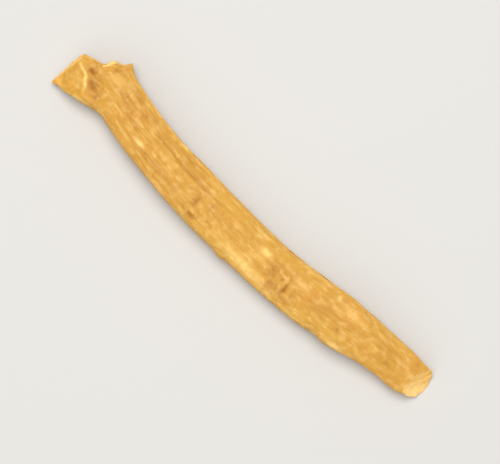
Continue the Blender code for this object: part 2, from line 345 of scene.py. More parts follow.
def solveRays(origins, directions):
    # Halves the stretch of each ray that holds the surface, again and again
    near = np.full(directions.shape[:-1], skin["rayNear"])
    far = np.full(directions.shape[:-1], skin["rayFar"])
    for _ in range(skin["rayHalvings"]):
        middle = (near + far) / 2.0
        inside = rootField(origins + directions * middle[..., None]) < 0.0
        near = np.where(inside, middle, near)
        far = np.where(inside, far, middle)
    return (near + far) / 2.0


def surfaceNormals(points):
    # The cross product of the two grid directions, which point along and around the root
    alongGrid = np.gradient(points, axis=0)
    aroundGrid = np.roll(points, -1, axis=1) - np.roll(points, 1, axis=1)
    return unit(np.cross(alongGrid, aroundGrid))


# The root: bark relief, in millimetres

relief = {
    # Furrows: length, width, depth, sharpness of the furrow's bed, seed
    "furrows": ((26.0, 1.9, 0.085, 0.12, 3), (13.0, 0.85, 0.075, 0.14, 11), (8.0, 0.45, 0.04, 0.18, 23)),
    # Slow bending of the furrows: size, amount, seed
    "wander": ((9.0, 3.0, 3.0), 0.14, 71),
    # A furrow ridge's middle level, and the furrow depth that gets the full painted shade
    "ridgeMiddle": 0.75,
    "fullShadeDepth": 0.16,
    # Strength of the furrows: least, and added near the crown; x and softness of where that ends
    "furrowStrength": (0.5, 0.7),
    "furrowsFade": (8.0, 14.0),
    # Patches of stronger furrows: size, middle, height, seed
    "patchy": (np.array((14.0, 5.0, 5.0)), 0.75, 0.45, 29),
    # How much weaker the furrows are on the torn end, and over the crown from one -x to another
    "calmTorn": 0.6,
    "calmCrown": 0.5,
    "calmFrom": (32.0, 38.0),
    # Unevenness, and fine lines across: size, height, seed
    "uneven": (((6.0, 2.6, 2.6), 0.09, 5), ((1.6, 1.1, 1.1), 0.03, 8)),
    "crossLines": ((0.55, 2.6, 2.6), 0.03, 41),
    # The patches that hold the fine lines: size, and the levels of noise that let them in
    "linePatches": ((9.0, 4.0, 4.0), (0.0, 0.5)),
    # Pits in the knots: size, depth; and the crease round each: place, width, depth, share of a pit
    "knotPit": (0.3, 0.2),
    "knotCrease": (1.25, 0.22, 0.07, 0.5),
    # Short scars across the root, clear of both ends by the margins
    "crossScars": {"count": 54, "halfLengths": (0.45, 1.2), "halfWidth": 0.24, "height": 0.06,
                   "margins": (4.0, 3.0), "bow": 0.15, "slitWidth": 0.55, "slitDepth": 1.1, "seed": 90},
    # The ledge on the bud's torn end, seen from above
    "ledge": {"middle": (-42.25, 3.35), "turn": 66.0, "halfLength": 1.55, "halfWidth": 0.45, "drop": 0.12,
              "softEnds": 0.15, "softSides": 0.1, "raggedSize": 0.8, "raggedDepth": 0.22,
              "raggedSides": 0.6, "seed": 55, "above": (4.2, 5.0)},
    # Bumps and nicks of the bud's torn end: x, y, height, reach
    "nicks": ((-41.8, 4.9, 0.35, 0.5), (-42.1, 4.0, 0.3, 0.75), (-43.3, 2.9, -0.75, 0.6),
              (-44.1, 2.4, -0.3, 0.6), (-41.0, 5.1, -0.12, 0.4)),
    "nicksAbove": (2.4, 4.4),
    # The lip along the facet's edge: its depth under the bark, width, height; and where it rises in y
    "lip": (0.28, 0.24, 0.1),
    "lipFade": (-5.4, -3.2),
    # Worn rims: distance from the cut and wear there, and the chips: size, seed, least, added, levels
    "wornRim": ((0.0, 0.16), (0.06, 0.1), (0.12, 0.05), (0.2, 0.02), (0.32, 0.0)),
    "chips": (1.1, 77, 0.6, 0.8, (0.1, 0.6)),
    # How far the rims of the cuts run ragged: reach along the root, then size and depth of each wave
    "raggedReach": 1.6,
    "raggedWaves": ((1.7, 0.3, 83), (0.7, 0.08, 87)),
    # Height under which the skin is pressed flat on what it lies on
    "restingSpot": 0.05,
}


def furrowRelief(straight, strength):
    # Noise drawn out along the root: a furrow where it is zero, ridges of 1 - exp(-|noise| / sharpness); also
    # a mask of painted shade, darkest in the furrows
    size, amount, warpSeed = relief["wander"]
    warp = amount * softNoise(straight / size, warpSeed)
    height = np.zeros(strength.shape)
    paintedCreaseShade = np.zeros(strength.shape)
    for length, width, depth, sharpness, seed in relief["furrows"]:
        stretched = straight / (length, width, width) + warp[..., None]
        ridge = 1.0 - np.exp(-np.abs(softNoise(stretched, seed)) / sharpness)
        height += depth * strength * (ridge - relief["ridgeMiddle"])
        paintedCreaseShade += depth * strength * (1.0 - ridge)
    return height, paintedCreaseShade / relief["fullShadeDepth"]


def unevenRelief(points):
    # Low noise of two sizes, and fine lines across the root that come and go in patches
    size, tall, seed = relief["crossLines"]
    patchSize, levels = relief["linePatches"]
    patches = ease(softNoise(points / patchSize, seed + 1), *levels)
    return noiseSum(points, relief["uneven"]) + tall * patches * softNoise(points / size, seed)


def knotRelief(points, angle):
    # A pit in the middle of each knot and a crease round it
    height = np.zeros(angle.shape)
    pits = np.zeros(angle.shape)
    pitSize, pitDepth = relief["knotPit"]
    creaseAt, creaseWidth, creaseDepth, creaseShare = relief["knotCrease"]
    for place, degrees, tall, length, width in root["bumps"]:
        around = aroundFrom(angle, np.radians(degrees))
        radius = shaftColumn(np.array(place), 2)
        away = np.hypot((points[..., 0] - place) / length, around * radius / width)
        pit = np.exp(-(away / pitSize) ** 2)
        crease = np.exp(-((away - creaseAt) / creaseWidth) ** 2)
        height -= pitDepth * pit + creaseDepth * crease
        pits += pit + creaseShare * crease
    return height, pits


def crossScarRelief(run, turn, radius):
    # Short lens-shaped scars across the root, each a raised lip with a slit in it
    scars = relief["crossScars"]
    count, (low, high) = scars["count"], scars["margins"]
    draw = np.random.default_rng(scars["seed"])
    height = np.zeros(np.broadcast_shapes(run.shape, turn.shape))
    slits = np.zeros(height.shape)
    for place, angle, halfLength in zip(draw.uniform(low, run.max() - high, count),
                                        draw.uniform(0.0, 2 * np.pi, count),
                                        draw.uniform(*scars["halfLengths"], count)):
        around = aroundFrom(turn, angle) * radius / halfLength
        along = (run - place + scars["bow"] * np.sin(3.0 * around)) / scars["halfWidth"]
        lens = np.exp(-around ** 4)
        slit = lens * np.exp(-(along / scars["slitWidth"]) ** 2)
        height += scars["height"] * (lens * np.exp(-along ** 2) - scars["slitDepth"] * slit)
        slits += slit
    return height, slits


def grooveRelief(points):
    # A bell across the groove, fading out at its two ends and down the stub's sides
    groove, cut = root["groove"], root["facet"]
    behind = -beyondCut(points, cut)
    low, high = groove["sideways"]
    fade = np.clip((points[..., 1] - low) / groove["fade"], 0.0, 1.0)
    fade *= np.clip((high - points[..., 1]) / groove["fade"], 0.0, 1.0)
    fade *= np.clip((points[..., 2] - root["stubCut"]["at"][2]) / groove["fade"], 0.0, 1.0)
    return fade * np.exp(-((behind - groove["behind"]) / groove["width"]) ** 2)


def ledgeShare(points):
    # Where the bark has come off the bud's torn edge: a ragged strip, turned in plan
    ledge = relief["ledge"]
    along = directionOf(ledge["turn"], 0.0)
    away = points - (*ledge["middle"], 0.0)
    ragged = ledge["raggedDepth"] * softNoise(points / ledge["raggedSize"], ledge["seed"])
    endwise = ledge["halfLength"] - np.abs(away @ along) - ragged
    sideways = ledge["halfWidth"] - np.abs(away @ (-along[1], along[0], 0.0))
    sideways = sideways - ledge["raggedSides"] * ragged
    share = ease(endwise, -ledge["softEnds"], ledge["softEnds"])
    share *= ease(sideways, -ledge["softSides"], ledge["softSides"])
    return share * ease(points[..., 2], *ledge["above"])


def nickRelief(points):
    # Round bells in plan on the bud's end, upwards of its middle height
    height = np.zeros(points.shape[:-1])
    for x, y, tall, reach in relief["nicks"]:
        away = ((points[..., 0] - x) ** 2 + (points[..., 1] - y) ** 2) / reach ** 2
        height += tall * np.exp(-away)
    return height * ease(points[..., 2], *relief["nicksAbove"])


def raggedRim(points, fromRim):
    # How far the skin near a cut is pushed out or in along the cut's normal
    return noiseSum(points, relief["raggedWaves"]) * ease(-fromRim, -relief["raggedReach"], 0.0)


# The root: marks on the bark, in millimetres

marks = {
    # Pale spots: x, y, half length, half width, strength, all on the upper side
    "pale": (
        (-26.6, -3.3, 1.3, 0.45, 1.0), (-9.9, -5.0, 0.7, 0.3, 0.5), (4.7, -5.0, 5.0, 0.9, 0.8),
        (6.2, 0.0, 1.5, 0.7, 1.0), (15.7, 0.8, 1.6, 0.7, 0.6), (22.5, 4.5, 0.5, 0.4, 0.7),
        (26.7, 4.0, 2.4, 0.7, 0.5), (-38.3, 2.1, 1.3, 0.9, 0.5),
    ),
    # Stained brown, likewise; the first four, along the groove behind the facet, are painted shade
    "brown": (
        (-43.5, -0.1, 0.75, 0.65, 0.65), (-42.3, -1.5, 0.6, 0.6, 0.35), (-41.3, -2.3, 0.8, 0.75, 0.8),
        (-39.6, -3.3, 1.0, 0.7, 0.3), (-41.6, 0.8, 2.4, 2.4, 0.16), (-44.2, 1.4, 0.7, 0.4, 0.3),
        (-43.0, 1.7, 0.3, 0.25, 0.5), (-39.9, 3.3, 0.5, 0.4, 0.6), (-39.9, 4.3, 1.7, 1.3, 0.3),
        (-39.6, 6.1, 0.9, 0.6, 0.6), (-38.1, 1.1, 0.4, 0.2, 0.5), (-36.3, 0.9, 0.5, 0.16, 0.4),
        (-30.5, -1.1, 0.9, 0.25, 0.5), (-29.5, 1.3, 1.0, 0.3, 0.4), (-32.1, -2.1, 0.4, 0.2, 0.4),
        (-28.8, -1.8, 0.8, 0.4, 0.3), (-10.6, -3.1, 0.5, 1.1, 0.7), (-9.5, -5.8, 0.9, 0.5, 0.85),
        (-7.6, -1.8, 0.4, 0.7, 0.4), (2.9, 2.5, 0.4, 0.4, 0.4), (9.6, -1.5, 0.7, 1.4, 0.55),
        (11.2, -3.6, 0.9, 1.1, 0.6), (12.1, -1.2, 0.5, 0.5, 0.25), (13.7, -2.9, 0.55, 1.3, 0.75),
        (15.3, -3.9, 0.9, 0.7, 0.4), (26.7, -0.2, 0.35, 0.5, 0.5), (38.2, 2.2, 0.8, 0.6, 0.4),
        (35.2, 0.5, 0.6, 0.3, 0.3), (42.9, 6.6, 0.6, 0.4, 0.5),
    ),
    # Heights over which the marks of the upper side set in
    "upperSide": (4.5, 6.5),
    # The same on the sides and below, drawn at random: how many, half length, half width, seed
    "palesBelow": (12, (0.8, 4.0), (0.4, 1.0), 7),
    "brownsBelow": (16, (0.4, 1.4), (0.3, 1.1), 19),
    # Where those may lie and how strong they are: clear of the ends, angle from the top, strength
    "below": (3.0, (1.1, 5.2), (0.4, 1.0)),
    # Raggedness of every mark: size, and how much it breaks the mark's edge up
    "ragged": ((0.9, 0.55, 63), (0.4, 0.35, 67)),
    # Brown lines across the root in the ring scars' zone
    "ringStain": {"strength": 0.62, "angle": -25.0, "radius": 5.2, "halfLength": 3.6, "halfWidth": 4.0,
                  "linesPerRing": 1.6, "wander": 1.25, "shift": 2.6, "lineEdge": (-0.2, 0.9),
                  "patchEdge": (-0.3, 0.45), "wanderNoise": ((3.0, 1.6, 1.6), 93),
                  "patchNoise": ((1.1, 1.3, 1.3), 97)},
    # The bark is a little browner towards the tail, over a stretch of x
    "tailStain": 0.1,
    "tailFrom": (14.0, 34.0),
    # Painted shade in the groove: strength, then its patches: size, least, added, seed
    "grooveShadeStrength": 0.5,
    "grooveShadePatches": (0.8, 0.6, 0.9, 59),
    # The lip's pale wood, brightened as a painted highlight: size of its breaks, least, added, seed, and the
    # two stretches of x where it ends
    "lipWoodAndHighlight": ((0.9, 0.8, 0.5, 61), (-42.4, -41.2), (-46.7, -46.0)),
    # The tail's worn pale rim: how far it reaches up the bark, its raggedness, size and seed
    "paleRim": ((-0.45, -0.05), 0.15, 1.1, 81),
    # The pale side of a cut: the way that it faces, how far it reaches, then its mottled border
    "paleSide": {"turn": -40.0, "reach": 3.4, "size": 1.1, "mottle": 0.35, "seed": 89, "edge": (-0.35, 0.5)},
    # How much painted shade the slits and pits get
    "slitPaintedShade": 0.5,
    "pitPaintedShade": 0.6,
}


def markShare(points, run, turn, upper, below, radius):
    # The sum of soft spots: bells in x and y on the upper side, and bells along and around elsewhere
    spots = np.zeros(points.shape[:-1])
    onTop = ease(points[..., 2], *marks["upperSide"])
    wobble = noiseSum(points, marks["ragged"])
    for x, y, halfLength, halfWidth, strength in upper:
        away = ((points[..., 0] - x) / halfLength) ** 2 + ((points[..., 1] - y) / halfWidth) ** 2
        spots += strength * onTop * np.exp(-np.maximum(away + wobble, 0.0))
    count, lengths, widths, seed = below
    margin, angles, strengths = marks["below"]
    draw = np.random.default_rng(seed)
    drawn = [draw.uniform(*bounds, count)
             for bounds in ((margin, run.max() - margin), angles, lengths, widths, strengths)]
    for place, angle, halfLength, halfWidth, strength in zip(*drawn):
        around = aroundFrom(turn, angle) * radius
        away = ((run - place) / halfLength) ** 2 + (around / halfWidth) ** 2
        spots += strength * np.exp(-np.maximum(away + wobble, 0.0))
    return spots


def ringStain(straight, angle):
    # Brown lines across the root in the ring scars' zone, broken up by noise
    scars, stain = root["scarRings"], marks["ringStain"]
    wanderSize, wanderSeed = stain["wanderNoise"]
    patchSize, patchSeed = stain["patchNoise"]
    away = straight[..., 0] - scars["along"]
    zone = bump(away, angle, stain["angle"], stain["radius"], stain["halfLength"], stain["halfWidth"])
    wander = stain["wander"] * softNoise(straight / wanderSize, wanderSeed)
    lines = np.cos(2 * np.pi * away / scars["spacing"] * stain["linesPerRing"] + wander + stain["shift"])
    patches = ease(softNoise(straight / patchSize, patchSeed), *stain["patchEdge"])
    return stain["strength"] * zone * ease(lines, *stain["lineEdge"]) * patches


# The root: cut faces

cutFace = {
    # The power that spaces the rings from the rim to the middle
    "fractions": 0.85,
    "hollow": 0.14,
    # The power by which the rim's raggedness dies out towards the middle
    "rimDiesOut": 6,
    "checks": {"count": 4, "depth": 0.09, "halfWidth": 0.1, "reach": 0.6, "spread": 0.3, "bend": 0.25,
               "shares": (0.5, 1.0), "start": (0.08, 0.3), "thinsFrom": 0.6, "seed": 12},
    "cambium": {"at": 0.86, "width": 0.03, "depth": 0.05},
    # Roughness: size, height, seed, and the shares of the radius over which it fades at rim and middle
    "grain": ((1.3, 0.09, 31), (0.45, 0.045, 37)),
    "grainFades": ((1.02, 0.9), (0.02, 0.2)),
    "seedStep": 100,
}


def capRings(rim, centre, outwards, seed):
    # Rings that shrink from a cut's rim to its middle, with a shallow hollow, a groove under the bark,
    # checks that run out from the middle, and a fine roughness
    count = skin["capRings"]
    share = (1.0 - np.arange(1, count) / count) ** cutFace["fractions"]
    rings = centre + (rim - centre) * share[:, None, None]
    reach = np.linalg.norm(rings - centre, axis=-1)
    angle = np.arange(rim.shape[0]) * 2 * np.pi / rim.shape[0]
    share = share[:, None]
    height = -cutFace["hollow"] * (1.0 - share ** 2)
    height = height + ((rim - centre) @ outwards) * (share ** cutFace["rimDiesOut"] - share)
    cambium = cutFace["cambium"]
    height = height - cambium["depth"] * np.exp(-((share - cambium["at"]) / cambium["width"]) ** 2)
    atRim, atMiddle = cutFace["grainFades"]
    grain = noiseSum(rings, cutFace["grain"], seed)
    height = height + grain * (ease(share, *atRim) * ease(share, *atMiddle))
    checks = cutFace["checks"]
    thinsFrom = checks["thinsFrom"]
    draw = np.random.default_rng(checks["seed"] + seed)
    for number in range(checks["count"]):
        at = 2 * np.pi * (number + draw.uniform(-checks["spread"], checks["spread"])) / checks["count"]
        end = checks["reach"] * draw.uniform(*checks["shares"])
        bend = draw.uniform(-checks["bend"], checks["bend"])
        around = aroundFrom(angle, at + bend * share)
        line = np.exp(-(around * reach / checks["halfWidth"]) ** 2) * ease(-share, -end, -thinsFrom * end)
        line = line * ease(share, *checks["start"])
        height = height - checks["depth"] * line
    return rings + outwards * height[..., None], share


def paleSide(points, middle):
    # Up to 1 on the side of a cut that the pale wood lies on, with a mottled border
    pale = marks["paleSide"]
    facing = (points - middle) @ directionOf(pale["turn"], 0.0) / pale["reach"]
    return ease(facing + pale["mottle"] * softNoise(points / pale["size"], pale["seed"]), *pale["edge"])


# Over which difference of two fields, in millimetres, one part of the root gives way to another
blends = {
    "stub": (-0.6, 0.6),
    "bud": (-0.2, 0.8),
    "tornEnd": (-0.25, 0.15),
    "pastFacet": (-0.1, -0.02),
    "underBark": (0.01, 0.06),
}


def furrowStrength(bare, straight, torn, onFacet):
    # Strongest near the crown, uneven in patches, weaker on the torn end, none on the facet
    least, added = relief["furrowStrength"]
    strength = least + added * fadePast(bare[..., 0], *relief["furrowsFade"])
    strength = strength * patchyShare(straight, *relief["patchy"])
    strength = strength * (1.0 - relief["calmTorn"] * torn) * (1.0 - onFacet)
    return strength * (1.0 - relief["calmCrown"] * ease(-bare[..., 0], *relief["calmFrom"]))


def pressFlat(shaped):
    # Curves the lowest skin off smoothly, and flattens it where it rests
    low = relief["restingSpot"]
    lifted = np.maximum(shaped[..., 2], 0.0)
    height = np.where(shaped[..., 2] < low, (lifted + low) ** 2 / (4.0 * low), shaped[..., 2])
    shaped[..., 2] = np.maximum(height - low / 4.0 * ease(-height, -3.0 * low, 0.0), 0.0)
    return shaped


def shapeRoot():
    x = ringPlaces()
    path = pathPoints(x)
    run, normal, up, side = ringFrames(path)
    turn = np.arange(skin["columns"]) * 2 * np.pi / skin["columns"]
    rays = up[:, None] * np.cos(turn)[:, None] + side[:, None] * np.sin(turn)[:, None]
    bare = path[:, None] + rays * solveRays(path[:, None], rays)[..., None]
    print("bare skin solved")

    runGrid = np.repeat(run[:, None], len(turn), axis=1)
    turnGrid = np.repeat(turn[None], len(run), axis=0)
    radius = shaftColumn(x, 2)[:, None] * np.ones_like(turnGrid)
    shaftPart, stubPart = shaftField(bare), armField(bare, root["stub"])
    main = softMin(shaftPart, stubPart, root["filletOfStub"])
    budSide, budEnd, budWhole = budField(bare)
    onStub = ease(shaftPart - stubPart, *blends["stub"])
    onBud = ease(main - budWhole, *blends["bud"])
    torn = onBud * ease(budEnd - budSide, *blends["tornEnd"])
    uncut = softMin(main, budWhole, root["filletOfBud"])
    onFacet = ease(beyondCut(bare, root["facet"]), *blends["pastFacet"])
    onFacet = onFacet * ease(-uncut, *blends["underBark"])

    straight = np.stack(shaftPlace(bare), -1)
    shaftAngle = np.arctan2(straight[..., 1], straight[..., 2])
    alongStub = alongArm(bare, root["stub"])
    alongBud = alongArm(bare, root["bud"])
    strength = furrowStrength(bare, straight, torn, onFacet)
    height, paintedCreaseShade = furrowRelief(straight, strength)
    for place, share in ((alongStub, onStub), (alongBud, onBud)):
        armHeight, armCreaseShade = furrowRelief(place, strength)
        height = height + (armHeight - height) * share
        paintedCreaseShade = paintedCreaseShade + (armCreaseShade - paintedCreaseShade) * share
    alongArms = np.where((onBud > 0.5 * onStub)[..., None], alongBud, alongStub)
    height = height + unevenRelief(bare)
    knots, pits = knotRelief(bare, shaftAngle)
    scars, slits = crossScarRelief(runGrid, turnGrid, radius)
    groove = grooveRelief(bare) * (1.0 - onFacet)
    ledge = ledgeShare(bare)
    lipAt, lipWidth, lipHeight = relief["lip"]
    lip = onFacet * np.exp(-((-uncut - lipAt) / lipWidth) ** 2)
    lip = lip * ease(bare[..., 1], *relief["lipFade"])
    height = height + (knots + scars) * (1.0 - onFacet) + lipHeight * lip
    height = height - root["groove"]["depth"] * groove - relief["ledge"]["drop"] * ledge
    height = height + nickRelief(bare)

    normals = surfaceNormals(bare)
    fromRim = np.minimum(run, run[-1] - run)[:, None, None]
    push = unit(rays + (normals - rays) * ease(fromRim, *skin["rayToNormal"]))
    shaped = bare + push * height[..., None]
    worn = np.interp(fromRim[..., 0], *zip(*relief["wornRim"]))
    size, seed, least, added, levels = relief["chips"]
    chips = least + added * ease(softNoise(bare / size, seed), *levels)
    shaped = shaped - rays * (worn * chips)[..., None]
    for cut, distance in ((root["stubCut"], run), (root["tailCut"], run[-1] - run)):
        ragged = cut["ragged"] * raggedRim(bare, distance[:, None])[..., None]
        shaped = shaped + ragged * cutNormal(cut)
    shaped = pressFlat(shaped)
    print("bark relief pressed in")

    palePart = markShare(bare, runGrid, turnGrid, marks["pale"], marks["palesBelow"], radius)
    brownPart = markShare(bare, runGrid, turnGrid, marks["brown"], marks["brownsBelow"], radius)
    reach, ragged, size, seed = marks["paleRim"]
    fromTail = (run[-1] - run)[:, None]
    rimShare = ease(-fromTail - ragged * softNoise(bare / size, seed), *reach)
    rimShare = rimShare * paleSide(bare, bare[-1].mean(0))
    # Pale wood along the facet's lip, made brighter as a painted highlight on its bevel
    patches, ends, starts = marks["lipWoodAndHighlight"]
    lipWoodAndHighlight = lip * patchyShare(bare, *patches)
    lipWoodAndHighlight = lipWoodAndHighlight * (1.0 - ease(bare[..., 0], *ends)) * ease(bare[..., 0], *starts)
    brownPart = brownPart + ringStain(straight, shaftAngle)
    # Painted shade in the groove behind the facet, in patches, added to the brown mask
    grooveShade = marks["grooveShadeStrength"] * (groove * patchyShare(bare, *marks["grooveShadePatches"]))
    tailwards = marks["tailStain"] * ease(bare[..., 0], *marks["tailFrom"])
    looks = {
        "alongShaft": straight,
        "alongArms": alongArms,
        "onArms": np.maximum(onStub, onBud),
        "spot": shaped,
        # Painted shade, darkest in the furrows, the scars' slits and the knots' pits
        "paintedCreaseShade": np.clip(paintedCreaseShade + marks["slitPaintedShade"] * slits + marks["pitPaintedShade"] * pits, 0.0, 1.5),
        "pale": np.clip(palePart + lipWoodAndHighlight, 0.0, 1.0),
        "brown": np.clip(brownPart * (1.0 - lip) + grooveShade + tailwards, 0.0, 1.0),
        "woodShows": np.clip(ledge + rimShare, 0.0, 1.0),
        "agedWood": np.clip(onFacet + torn, 0.0, 1.0),
    }
    return shaped, looks


def makeRoot():
    shaped, looks = shapeRoot()
    stubOut, tailOut = cutNormal(root["stubCut"]), cutNormal(root["tailCut"])
    stubMiddle, tailMiddle = shaped[0].mean(0), shaped[-1].mean(0)
    stubCap, stubShare = capRings(shaped[0], stubMiddle, stubOut, 0)
    tailCap, tailShare = capRings(shaped[-1], tailMiddle, tailOut, cutFace["seedStep"])
    caps = skin["capRings"] - 1
    rings = np.concatenate([stubCap[::-1], shaped, tailCap])
    poles = [stubMiddle - stubOut * cutFace["hollow"], tailMiddle - tailOut * cutFace["hollow"]]
    count, columns = rings.shape[:2]
    points = np.concatenate([rings.reshape(-1, 3), poles])

    i = np.arange(count - 1)[:, None] * columns
    j = np.arange(columns)[None]
    after = (j + 1) % columns
    quads = np.stack([i + j, i + columns + j, i + columns + after, i + after], -1).reshape(-1, 4)
    last = (count - 1) * columns
    stubFan = np.stack([np.full(columns, count * columns), j[0], after[0]], -1)
    tailFan = np.stack([np.full(columns, count * columns + 1), last + after[0], last + j[0]], -1)
    faces = quads.tolist() + stubFan.tolist() + tailFan.tolist()
    ringOfQuad = np.repeat(np.arange(count - 1), columns)
    isCut = (ringOfQuad < caps) | (ringOfQuad >= count - 1 - caps)
    material = np.concatenate([isCut, np.ones(2 * columns, bool)]).astype(np.int32)

    def overCaps(values):
        # Carries a skin value on over both cut faces and their middles
        whole = [np.repeat(values[:1], caps, axis=0), values, np.repeat(values[-1:], caps, axis=0)]
        whole = np.concatenate(whole).reshape(-1, *values.shape[2:])
        return np.concatenate([whole, np.array([values[0].mean(0), values[-1].mean(0)])])

    attributes = {name: overCaps(values) for name, values in looks.items()}
    outwards = np.ones(rings.shape[:2])
    outwards[:caps] = stubShare[::-1]
    outwards[-caps:] = tailShare
    attributes["outwards"] = np.append(outwards.ravel(), (0.0, 0.0))
    attributes["acrossCut"] = points - np.where(points[:, :1] < 0.0, stubMiddle, tailMiddle)
    attributes["aged"] = (points[:, 0] < 0.0).astype(float)
    attributes["crescent"] = paleSide(points, tailMiddle)
    return writeMesh("dried_root", points, faces, material, attributes)


def placeObject(name, data):
    obj = bpy.data.objects.new(name, data)
    bpy.context.scene.collection.objects.link(obj)
    return obj


def writeMesh(name, points, faces, material, attributes):
    mesh = bpy.data.meshes.new(name)
    mesh.from_pydata((np.asarray(points) * mm).tolist(), [], faces)
    for label, values in attributes.items():
        isVector = values.ndim == 2
        layer = mesh.attributes.new(label, "FLOAT_VECTOR" if isVector else "FLOAT", "POINT")
        layer.data.foreach_set("vector" if isVector else "value", values.astype(np.float32).ravel())
    mesh.polygons.foreach_set("material_index", material)
    mesh.update()
    mesh.shade_smooth()
    return placeObject(name, mesh)


# Finishes

def colour(red, green, blue):
    # A colour as a screen shows it, 0 to 255, made linear
    screen = np.array((red, green, blue)) / 255.0
    linear = np.where(screen <= 0.04045, screen / 12.92, ((screen + 0.055) / 1.055) ** 2.4)
    return (*linear, 1.0)


dryMatt = {"Diffuse Roughness": 0.9, "Specular IOR Level": 0.25}
barkLook = {
    # The furrow brown tints the fine streaks and also paints shade into the creases
    "golden": colour(226, 182, 84), "deep": colour(211, 160, 66), "furrowBrownAndShade": colour(180, 121, 43),
    "pale": colour(249, 216, 134), "stain": colour(168, 106, 34), "tinge": colour(232, 168, 72),
    "speck": colour(146, 92, 34), "wood": colour(250, 210, 130), "agedWood": colour(207, 157, 67),
    "agedDeep": colour(190, 138, 50),
    "roughness": (0.62, 0.8),
    "bump": 0.00006,
    "fineStreaks": {"length": 2.6, "width": 0.2, "sharpness": 2.4},
    "broadStreaks": {"length": 9.0, "width": 0.7, "sharpness": 2.6},
    "blotches": {"size": 3.4, "low": 0.42, "high": 0.62},
    "tinges": {"size": 5.5, "low": 0.52, "high": 0.68},
    "dusting": {"size": 1.2, "low": 0.44, "high": 0.7},
    "dustDrawnOut": (0.62, 1.0, 1.0),
    "grit": {"size": 0.9, "low": 0.42, "high": 0.62},
    "dots": {"spacing": 1.3, "radius": 0.12, "share": 0.35},
    # Tints laid over the golden bark, one after another: colour, mask, share; then those over the aged
    # wood and over the bare wood. The furrow brown over the crease mask is painted shade, the brown mask
    # also holds painted shade in the groove behind the facet, and the pale mask a painted highlight on its
    # lip
    "layers": (("deep", "broadStreaks", 0.75), ("tinge", "tinges", 0.3), ("deep", "blotches", 0.5),
               ("pale", "dusting", 0.56), ("furrowBrownAndShade", "fineStreaks", 0.33), ("furrowBrownAndShade", "paintedCreaseShade", 0.75),
               ("stain", "brown", 1.0), ("pale", "pale", 0.85), ("speck", "dots", 0.75)),
    "agedLayers": (("agedDeep", "grit", 0.6), ("tinge", "tinges", 0.5), ("pale", "dusting", 0.25),
                   ("pale", "pale", 0.9)),
    "woodLayers": (("golden", "fineStreaks", 0.4),),
    "heights": (("fineStreaks", -0.6), ("dusting", 0.3)),
}
woodLook = {
    "fresh": colour(234, 188, 104), "freshDeep": colour(212, 164, 80), "bright": colour(249, 212, 138),
    "aged": colour(238, 192, 108), "agedDeep": colour(220, 164, 80), "line": colour(196, 138, 64),
    "pith": colour(226, 188, 116),
    "roughness": (0.75, 0.9),
    "bump": 0.00005,
    "rays": {"length": 0.35, "width": 0.35, "sharpness": 3.0},
    "raysFrom": (0.5, 2.2),
    "raysScale": 4.0,
    "grit": {"size": 0.4, "low": 0.3, "high": 0.74},
    "clouds": {"size": 1.6, "low": 0.42, "high": 0.62},
    "pores": {"spacing": 0.42, "radius": 0.12, "share": 0.4},
    # Shares of the radius: the line under the bark, and where the bark begins; then the pith in mm
    "lineAt": 0.86,
    "lineWidth": 0.045,
    "barkFrom": (0.88, 0.95),
    "pithEdge": (0.7, 0.3),
    # How far rays and clouds deepen the wood, then the tints laid over it, and the heights
    "deepening": (("rays", 0.1), ("clouds", 0.5)),
    "layers": (("deep", "grit", 0.25), ("bright", "crescent", 0.75), ("line", "underBark", 0.4),
               ("deep", "barkRing", 0.35), ("pith", "pith", 0.5), ("line", "pores", 0.4)),
    "heights": (("rays", 0.12), ("grit", 0.7)),
}


def setInputs(tree, node, inputs):
    # Links an input to a socket, or gives it a value
    for name, value in inputs.items():
        if isinstance(value, bpy.types.NodeSocket):
            tree.links.new(value, node.inputs[name])
        else:
            node.inputs[name].default_value = value


def addNode(tree, kind, inputs, **settings):
    node = tree.nodes.new(kind)
    for name, value in settings.items():
        setattr(node, name, value)
    setInputs(tree, node, inputs)
    return node


def calculate(tree, operation, *values):
    return addNode(tree, "ShaderNodeMath", dict(enumerate(values)), operation=operation).outputs[0]


def calculateVector(tree, operation, *values):
    return addNode(tree, "ShaderNodeVectorMath", dict(enumerate(values)), operation=operation).outputs[0]


def mixColour(tree, share, first, second):
    return addNode(tree, "ShaderNodeMix", {0: share, 6: first, 7: second}, data_type="RGBA").outputs[2]


def sumOfShares(tree, masks, parts):
    # The sum of two masks, each times its share
    return calculate(tree, "ADD", *[calculate(tree, "MULTIPLY", masks[name], share) for name, share in parts])


def tintOver(tree, shade, tints, masks, layers):
    # Lays tints over a shade, each where its mask is and up to its share
    for tint, mask, share in layers:
        shade = mixColour(tree, calculate(tree, "MULTIPLY", masks[mask], share), shade, tints[tint])
    return shade


def easeBetween(tree, value, low, high):
    return addNode(tree, "ShaderNodeMapRange", {0: value, 1: low, 2: high},
                   interpolation_type="SMOOTHSTEP").outputs[0]


def attributeOf(tree, name, output):
    return addNode(tree, "ShaderNodeAttribute", {}, attribute_name=name).outputs[output]


def startGroup(name, result, *numbers):
    # A node group that takes a place and some numbers and gives one number
    tree = bpy.data.node_groups.new(name, "ShaderNodeTree")
    tree.interface.new_socket("Place", in_out="INPUT", socket_type="NodeSocketVector")
    for label in numbers:
        tree.interface.new_socket(label, in_out="INPUT", socket_type="NodeSocketFloat")
    tree.interface.new_socket(result, in_out="OUTPUT", socket_type="NodeSocketFloat")
    return tree, tree.nodes.new("NodeGroupInput").outputs, tree.nodes.new("NodeGroupOutput").inputs


